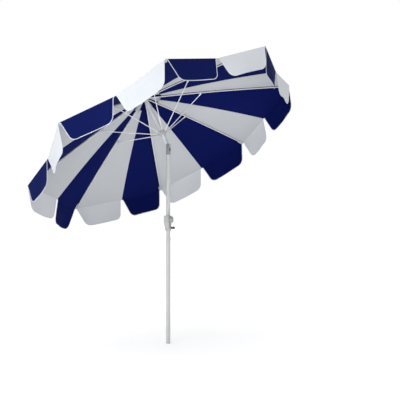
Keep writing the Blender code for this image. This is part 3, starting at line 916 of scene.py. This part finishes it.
    def _flap(self, number: int, side: Side) -> tuple[np.ndarray, np.ndarray, np.ndarray]:
        """One flap, from its tuck under the rim down to its round corners.

        Args:
            number: the rib, from 0.
            side: which of its panels.

        Returns:
            The points in rows, their depth below the rim, and their place along it, both in metres.
        """
        angle = self.shape.rib_angle(number)
        half = side.value * math.pi / self.shape.ribs
        ends = {}
        for share in (0.99, 1.0):
            rib = self.shape.over_rib(np.array(share), angle)
            gap = self.shape.over_gap(np.array(share), angle + half)
            ends[share] = (rib * 0.995 + gap * 0.005, rib * 0.005 + gap * 0.995)
        luck = random.Random(61 * number + side.value)
        turned = sum(degrees for rib, which, degrees in self.blown if (rib, which) == (number, side))
        swing = math.radians(luck.uniform(*self.flap_swing) + turned)
        phase, wave = luck.uniform(0, 2 * math.pi), luck.uniform(*self.flap_wave)
        hang = np.array(self.hang)
        inner, outer = ends[1.0]
        width = float(np.linalg.norm(outer - inner))
        edge = (outer - inner) / width
        middle = (inner + outer) / 2
        away = unit(np.cross(hang, edge))
        if away @ np.array((middle[0], middle[1], 0.0)) < 0:
            away = -away
        outwards = unit(middle - (ends[0.99][0] + ends[0.99][1]) / 2)
        below = unit(np.cross(outwards, edge))
        if below[2] > 0:
            below = -below
        straight = np.linspace(self.flap_top, self.flap_length - self.flap_corner, self.flap_rows)
        bend = np.linspace(0, math.pi / 2, self.corner_rows)[1:]
        drop = np.concatenate((straight, self.flap_length - self.flap_corner * (1 - np.sin(bend))))
        across = np.linspace(0, 1, self.flap_columns)
        rows, depths = [], []
        for back in (self.tuck, self.tuck * self.tuck_share):
            sunk = below * self.cloth * self.tuck_depth
            rows.append(inner + edge * (width * across)[:, None] - outwards * back + sunk)
            depths.append(-back)
        rows.append(inner + edge * (width * across)[:, None] + outwards * self.roll_out + below * self.cloth)
        depths.append(0.0)
        for depth in drop:
            top = max(0.0, self.flap_inset - depth)
            cut = math.sqrt(max(0.0, self.flap_inset ** 2 - top ** 2))
            cut += self.flap_taper * max(0.0, depth - self.flap_inset)
            corner = max(0.0, depth - (self.flap_length - self.flap_corner))
            cut += self.flap_corner - math.sqrt(max(0.0, self.flap_corner ** 2 - corner ** 2))
            place = cut + (width - 2 * cut) * across
            share = depth / self.flap_length
            puff = self.flap_belly * np.sin(math.pi * place / width) * math.sin(math.pi * share * 0.6)
            puff = puff + wave * np.sin(2 * math.pi * self.flap_waves * place / width + phase) * share ** 1.4
            puff = puff + depth * math.tan(swing)
            spot = inner + edge * place[:, None] + hang * depth + outwards * self.hang_out
            rows.append(spot + away * puff[:, None])
            depths.append(depth)
        grid = np.stack(rows)
        down = np.broadcast_to(np.array(depths)[:, None], grid.shape[:2])
        along = (grid - inner) @ edge
        return grid, down, along

    @property
    def hang(self) -> Vector:
        """The way the flaps hang: mostly straight down, partly in line with the mast."""
        along_mast = Vector((0.0, 0.0, self.plumb_share - 1.0))
        return (along_mast + self.plumb_share * self.lean.plumb).normalized()

    def _edge_of(self, grid: np.ndarray) -> tuple[np.ndarray, np.ndarray, np.ndarray]:
        """The free edge of a flap: down one side, along the bottom and up the other side.

        Args:
            grid: the flap's points in rows.

        Returns:
            The edge's points, the way into the cloth and the way the cloth faces.
        """
        out = facing(grid)
        path = np.concatenate((grid[2:, 0], grid[-1, 1:-1], grid[:1:-1, -1]))
        face = np.concatenate((out[2:, 0], out[-1, 1:-1], out[:1:-1, -1]))
        steps = np.linalg.norm(np.diff(path, axis=0), axis=1)
        length = np.concatenate(([0.0], np.cumsum(steps)))
        even = np.linspace(0.0, length[-1], self.edge_points)
        path = np.stack([np.interp(even, length, path[:, axis]) for axis in range(3)], axis=-1)
        face = unit(np.stack([np.interp(even, length, face[:, axis]) for axis in range(3)], axis=-1))
        tangent = unit(np.gradient(path, axis=0))
        inward = unit(np.cross(face, tangent))
        centre = grid[grid.shape[0] // 2, grid.shape[1] // 2]
        turned = np.sign(np.sum(inward * (centre - path), axis=1).sum())
        return path, inward * turned, face

    def gore(self, number: int) -> tuple[Piece, Piece, float]:
        """One rib's cloth with its two flaps, and the white binding round the flaps.

        Args:
            number: the rib, from 0.

        Returns:
            The gore, its binding and the gore's flat area.
        """
        body = SewnMesh(f"gore_{number + 1}", self.wardrobe.cloths)
        tape = SewnMesh(f"flap_binding_{number + 1}", (self.wardrobe.tape,))
        navy, near_navy, far_navy = self._panel(number, Side.NAVY)
        white, near_white, far_white = self._panel(number, Side.WHITE)
        navy_off = self._relief(navy, near_navy, far_navy, number, Side.NAVY)
        white_off = self._relief(white, near_white, far_white, number, Side.WHITE)
        grid = np.concatenate((white[:, :0:-1], navy), axis=1)
        off = np.concatenate((white_off[:, :0:-1], navy_off), axis=1)
        near = np.concatenate((-near_white[:, :0:-1], near_navy), axis=1)
        far = np.concatenate((far_white[:, :0:-1], far_navy), axis=1)
        bend = min(self.rim_rows, grid.shape[0] // 3)
        off[-bend:] *= np.linspace(1.0, self.rim_calm, bend)[:, None]
        grid = grid + upwards(facing(grid)) * off[..., None]
        down = np.linalg.norm(np.diff(grid, axis=0), axis=2).cumsum(axis=0)
        down = np.concatenate((np.zeros((1, grid.shape[1])), down))
        hem = np.minimum(down, down[-1:] - down)
        seam = np.stack((np.minimum(np.minimum(np.abs(near), np.abs(far)), hem), down), axis=-1)
        slots = np.array([1] * (white.shape[1] - 1) + [0] * (navy.shape[1] - 1))
        body.patch(grid, np.stack((near, down), axis=-1), seam, slots, self.cloth)
        steps_across = np.linalg.norm(np.diff(grid, axis=1), axis=2)[:-1]
        steps_down = np.linalg.norm(np.diff(grid, axis=0), axis=2)[:, :-1]
        area = float((steps_across * steps_down).sum())
        for side, slot in ((Side.NAVY, 0), (Side.WHITE, 1)):
            flap, depth, along = self._flap(number, side)
            path, inward, face = self._edge_of(flap)
            to_edge = np.minimum(along - along[:, :1], along[:, -1:] - along)
            edge = np.minimum(np.abs(to_edge), self.flap_length - depth) - self.hem_line
            seam = np.stack((np.minimum(np.abs(edge), np.abs(depth)), along + depth), axis=-1)
            slots = np.full(flap.shape[1] - 1, slot)
            away = flap.mean(axis=(0, 1)) * (1.0, 1.0, 0.0)
            weave = np.stack((along, depth), axis=-1)
            # The tuck under the rim takes the panels' darker painted-shade backs; the hanging flap's back is
            # the navy painted-shade back or the lighter white back, a painted light.
            body.patch(flap[:3], weave[:3], seam[:3], slots, self.cloth)
            body.patch(flap[2:], weave[2:], seam[2:], slots, self.cloth, back=4, outer=away)
            tape.binding(path, inward, face, self.tape_half, self.tape_thick)
            area += float((along[:, -1] - along[:, 0]).mean()) * (self.flap_length + self.tuck)
        return body.finish(self.lean.mast), tape.finish(self.lean.mast), area

    def pocket(self, number: int) -> Piece:
        """The small pouch under the rim's corner that holds a rib's tip.

        Args:
            number: the rib, from 0.

        Returns:
            The pouch.
        """
        angle = self.shape.rib_angle(number)
        first, last, half = self.pouch_from, self.pouch_to, self.pouch_half
        share = np.linspace(first, last, self.pouch_rows)
        beside = np.linspace(-half, half, self.pouch_columns)
        rows = []
        for step, spot in enumerate(self.shape.over_rib(share, angle)):
            here = np.array(share[step])
            ends = [self.shape.over_gap(here, angle + turn * math.pi / self.shape.ribs) for turn in (-1, 1)]
            ways = [unit(end - spot) for end in ends]
            rows.append([spot + (ways[0] if place < 0 else ways[1]) * abs(place) for place in beside])
        grid = np.array(rows)
        out = np.broadcast_to(unit(upwards(facing(grid)).mean(axis=(0, 1))), grid.shape)
        belly = np.clip(1 - (beside / self.pouch_bulge) ** 4, 0, 1)[None]
        mouth = np.sin(np.clip((share - first) / 0.010, 0, 1) * math.pi / 2)[:, None] * 0.35 + 0.65
        close = np.clip((last - share) / 0.007, 0, 1)[:, None] ** 0.5
        grid = grid - out * (self.pouch_gap + self.pouch_depth * belly * mouth * close)[..., None]
        along = (share * self.shape.rim_radius)[:, None]
        place = np.stack(np.broadcast_arrays(beside[None], along), axis=-1)
        side = np.minimum(half - np.abs(place[..., 0]), np.abs(place[..., 1] - place[:1, :, 1]))
        # The pouch is cut from the white cloth's darker back, a painted shade.
        pouch = SewnMesh(f"rib_pocket_{number + 1}", (self.wardrobe.white_shaded_back,) * 3)
        seam = np.stack((side / 0.008, place[..., 1]), axis=-1)
        pouch.patch(grid, place, seam, np.zeros(grid.shape[1], int), self.cloth)
        return pouch.finish(self.lean.mast)

    def build(self) -> list[Piece]:
        """Make every gore with what is sewn to it, and hang it on its rib.

        Returns:
            The pieces.
        """
        made = []
        for number in range(self.shape.ribs):
            cloth, tape, area = self.gore(number)
            pouch = self.pocket(number)
            angle = self.shape.rib_angle(number)
            for piece, slot in ((cloth, "canopy_cloth"), (tape, "canopy_cloth"), (pouch, "canopy_cloth")):
                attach(piece, f"rib_{number + 1}")
                made.append(piece)
            for piece in (cloth, tape):
                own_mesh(piece)
            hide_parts(f"canopy_gore_{number + 1}")
            LOG.info("gore %d: %.3f square metres of cloth", number + 1, area)
        return made


@dataclass
class VentCap:
    """The small upper canopy over the vent: sixteen panels in the two colours, with a scalloped hem."""

    lean: Lean
    shape: CanopyShape
    wardrobe: Wardrobe
    radius: float = 0.400
    hole: float = 0.0125
    top: float = 0.5197
    hem: float = 0.4215
    scallop: float = 0.075
    dip: float = 0.006
    crown: float = 0.008
    seam_rise: float = 0.0009
    seam_width: float = 0.0075
    seam_slope: float = 0.0035
    billow: float = 0.0012
    cloth: float = 0.0009
    rows: int = 30
    steps: int = 12
    tape_half: float = 0.0032
    tape_thick: float = 0.0014

    def build(self) -> list[Piece]:
        """Make the cap and its bound hem.

        Returns:
            The pieces.
        """
        panels = 2 * self.shape.ribs
        columns = panels * self.steps
        turns = self.shape.first + 2 * math.pi * np.arange(columns) / columns
        between = (np.arange(columns) / (2 * self.steps)) % 1.0
        hollow = np.abs(np.sin(math.pi * between)) ** 0.9
        share = np.linspace(0, 1, self.rows)[:, None]
        radius = (self.hole + (self.radius - self.hole) * share) * (1 - self.scallop * share * hollow[None])
        height = self.top + (self.hem - self.top) * share - self.dip * share * hollow[None]
        height = height + self.crown * np.sin(math.pi * share) ** 0.8 * (1 - 0.45 * hollow[None])
        grid = np.stack((radius * np.cos(turns)[None], radius * np.sin(turns)[None], height), axis=-1)
        place = (np.arange(columns) / self.steps) % 1.0
        to_seam = np.minimum(place, 1 - place)[None] * 2 * math.pi / panels * radius
        off = self.seam_rise * eased((self.seam_width - to_seam) / self.seam_slope)
        off = off + self.billow * ripple(grid, 0.11, 5.0) * share * (1 - share) * 4
        out = upwards(facing(grid, True))
        grid = grid + out * off[..., None]
        down = np.broadcast_to(share * self.radius, off.shape)
        around = np.broadcast_to(np.arange(columns)[None] * 2 * math.pi / columns * self.radius, off.shape)
        slots = (np.arange(columns) // self.steps) % 2
        # The cap's underside takes the darker backs of the cloth, a painted shade.
        cap = SewnMesh("vent_cap_cloth", self.wardrobe.cloths)
        seam = np.stack((np.minimum(to_seam, self.radius - down), down), axis=-1)
        cap.patch(grid, np.stack((around, down), axis=-1), seam, slots, self.cloth, True)
        edge = grid[-1]
        wide = np.concatenate((edge[-1:], edge, edge[:1]))
        tangent = unit(wide[2:] - wide[:-2])
        inward = unit(np.cross(out[-1], tangent))
        inward *= np.sign(np.sum(inward * (np.array((0.0, 0.0, self.top)) - edge), axis=1).sum())
        tape = SewnMesh("vent_cap_binding", (self.wardrobe.tape,))
        tape.binding(edge, inward, out[-1], self.tape_half, self.tape_thick, 0, True)
        cloth, bound = cap.finish(self.lean.mast), tape.finish(self.lean.mast)
        for piece in (cloth, bound):
            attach(piece, "mast")
        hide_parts("vent_cap")
        return [cloth, bound]


# Hard parts -------------------------------------------------------------------------------------


@dataclass
class RibCage:
    """Hub, ribs, struts and runner, which open and hold the canopy."""

    nodes: Nodes
    wardrobe: Wardrobe
    ribs: int = 8

    def build(self) -> None:
        """Dress the metal, the tips and the two rings."""
        numbers = range(1, self.ribs + 1)
        dress(self.nodes, [f"rib_{number}" for number in numbers], self.wardrobe.rib_coat)
        dress(self.nodes, [f"strut_{number}" for number in numbers], self.wardrobe.rib_coat)
        dress(self.nodes, [f"rib_tip_{number}" for number in numbers], self.wardrobe.bright_plastic)
        dress(self.nodes, ("top_hub", "runner"), self.wardrobe.pale_plastic)
        dress(self.nodes, ("finial",), self.wardrobe.bright_plastic)
        LOG.info("rib cage: %d ribs and struts dressed", self.ribs)


@dataclass
class Pole:
    """The two pole tubes, the mast and the tilt joint between them."""

    nodes: Nodes
    wardrobe: Wardrobe

    def build(self) -> None:
        """Dress the tubes, the knuckle, the buttons and their springs."""
        looks = self.wardrobe
        for finish, names in (
            (looks.pole_coat, ("lower_pole", "upper_pole")),
            # The mast and the upper knuckle take lighter finishes than the pole below, a painted light
            # against the canopy's shade over them.
            (looks.rib_coat, ("upper_mast",)),
            (looks.bright_plastic, ("tilt_upper_housing",)),
            (looks.slate_plastic, ("tilt_lower_housing",)),
            (looks.dark_plastic, ("tilt_button",)),
            (looks.grey_plastic, ("end_plug",)),
            (looks.steel, ("tilt_pin", "button_spring", "snap_button", "snap_spring")),
        ):
            dress(self.nodes, names, finish)
        LOG.info("pole: tubes, tilt joint and buttons dressed")


@dataclass
class CrankLift:
    """The crank, its housing, the cord and the pulley that raise the runner."""

    nodes: Nodes
    wardrobe: Wardrobe

    def build(self) -> None:
        """Dress the housing, the crank, the cord's runs and the pulley."""
        looks = self.wardrobe
        screws = ("housing_screw_lower", "housing_screw_upper")
        for finish, names in (
            (looks.pale_plastic, ("crank_housing_front", "crank_housing_rear")),
            (looks.grey_plastic, ("crank_arm",)),
            (looks.dark_plastic, ("crank_knob",)),
            (looks.bright_plastic, ("pulley",)),
            (looks.steel, ("crank_spool", "knob_pin", "pulley_pin") + screws),
            (looks.braid, ("lift_cord_lower", "lift_cord_upper", "lift_cord_drop")),
        ):
            dress(self.nodes, names, finish)
        LOG.info("crank lift: housing, crank, cord and pulley dressed")


# Studio -----------------------------------------------------------------------------------------


@dataclass
class Lamp:
    """One soft light."""

    name: str
    spot: tuple[float, float, float]
    aim: tuple[float, float, float]
    power: float
    size: float
    spread: float = math.pi

    def build(self) -> None:
        """Hang the light and point it."""
        light = bpy.data.lights.new(self.name, "AREA")
        light.energy, light.shape, light.size, light.spread = self.power, "DISK", self.size, self.spread
        made = bpy.data.objects.new(self.name, light)
        made.location = self.spot
        made.rotation_euler = (Vector(self.aim) - Vector(self.spot)).to_track_quat("-Z", "Y").to_euler()
        bpy.context.scene.collection.objects.link(made)


@dataclass
class Studio:
    """A pale floor, soft light and the camera."""

    eye: tuple[float, float, float] = (0.0, -7.664, 1.168)
    lens: float = 79.16
    sensor: float = 36.0
    yaw: float = math.radians(-2.07)
    pitch: float = math.radians(0.58)
    sky: float = 1.0
    sky_dim: float = 0.40
    dim_side: Colour = (0.72, -0.69, 0.0)
    dim_from: float = 0.05
    floor_radius: float = 60.0
    floor_colour: Colour = (0.92, 0.92, 0.92)
    floor_glow: float = 0.26
    lamps: tuple[Lamp, ...] = (
        Lamp("key_light", (-3.2, -4.6, 5.2), (0.0, 0.0, 1.7), 88.0, 3.2),
        Lamp("fill_light", (4.4, -3.4, 2.4), (0.0, 0.0, 1.4), 4.0, 3.0),
        Lamp("low_light", (-1.6, -6.6, 0.7), (-0.2, 0.6, 1.6), 75.0, 2.4),
        Lamp("hub_light", (-1.3, -5.2, 0.5), (-0.12, 0.1, 1.98), 0.8, 0.5, math.radians(22.0)),
        Lamp("back_light", (0.5, 5.0, 5.0), (0.0, 0.0, 1.9), 10.0, 3.5),
    )

    def build(self) -> None:
        """Lay the floor, hang the lights and set the camera."""
        self._floor()
        self._sky()
        for lamp in self.lamps:
            lamp.build()
        camera = bpy.data.cameras.new("camera")
        camera.lens, camera.sensor_width = self.lens, self.sensor
        made = bpy.data.objects.new("camera", camera)
        made.location = self.eye
        made.rotation_euler = (math.pi / 2 + self.pitch, 0.0, self.yaw)
        bpy.context.scene.collection.objects.link(made)
        bpy.context.scene.camera = made

    def _floor(self) -> None:
        """A wide pale disc under the foot."""
        count = 96
        turns = [2 * math.pi * step / count for step in range(count)]
        rim = [(self.floor_radius * math.cos(t), self.floor_radius * math.sin(t), 0.0) for t in turns]
        mesh = bpy.data.meshes.new("floor")
        mesh.from_pydata(rim, [], [tuple(range(count))])
        board = NodeBoard("pale_floor")
        tone = board.grain(board.place(), 1.4, 2.0)
        dim = tuple(0.985 * part for part in self.floor_colour)
        board.shade(
            Base_Color=board.blend(tone, self.floor_colour, dim), Roughness=0.9, Specular_IOR_Level=0.1,
            Emission_Color=(1.0, 1.0, 1.0, 1.0), Emission_Strength=self.floor_glow,
        )
        mesh.materials.append(board.material)
        floor = bpy.data.objects.new("floor", mesh)
        bpy.context.scene.collection.objects.link(floor)

    def _sky(self) -> None:
        """A white surround, dimmer towards the front right, with colours left as they are."""
        world = bpy.data.worlds.new("studio_air")
        bpy.context.scene.world = world
        world.use_nodes = True
        nodes, links = world.node_tree.nodes, world.node_tree.links
        way = nodes.new("ShaderNodeTexCoord").outputs["Generated"]
        side = nodes.new("ShaderNodeVectorMath")
        side.operation = "DOT_PRODUCT"
        side.inputs[1].default_value = self.dim_side
        links.new(way, side.inputs[0])
        level = nodes.new("ShaderNodeMapRange")
        for socket, number in zip(list(level.inputs)[1:5], (self.dim_from, 1.0, self.sky, self.sky_dim)):
            socket.default_value = number
        links.new(side.outputs["Value"], level.inputs[0])
        air = nodes["Background"]
        air.inputs["Color"].default_value = (1.0, 1.0, 1.0, 1.0)
        links.new(level.outputs[0], air.inputs["Strength"])
        bpy.context.scene.view_settings.view_transform = "Standard"


def main() -> None:
    """Build the umbrella piece by piece, then the studio round it."""
    logging.basicConfig(level=logging.INFO, format="%(name)s: %(message)s")
    nodes: Nodes = frame["nodes"]
    wardrobe = Wardrobe()
    lean, shape = Lean(), CanopyShape()
    Studio().build()
    Pole(nodes, wardrobe).build()
    CrankLift(nodes, wardrobe).build()
    RibCage(nodes, wardrobe).build()
    Canopy(lean, shape, wardrobe).build()
    VentCap(lean, shape, wardrobe).build()


if __name__ == "__main__":
    main()
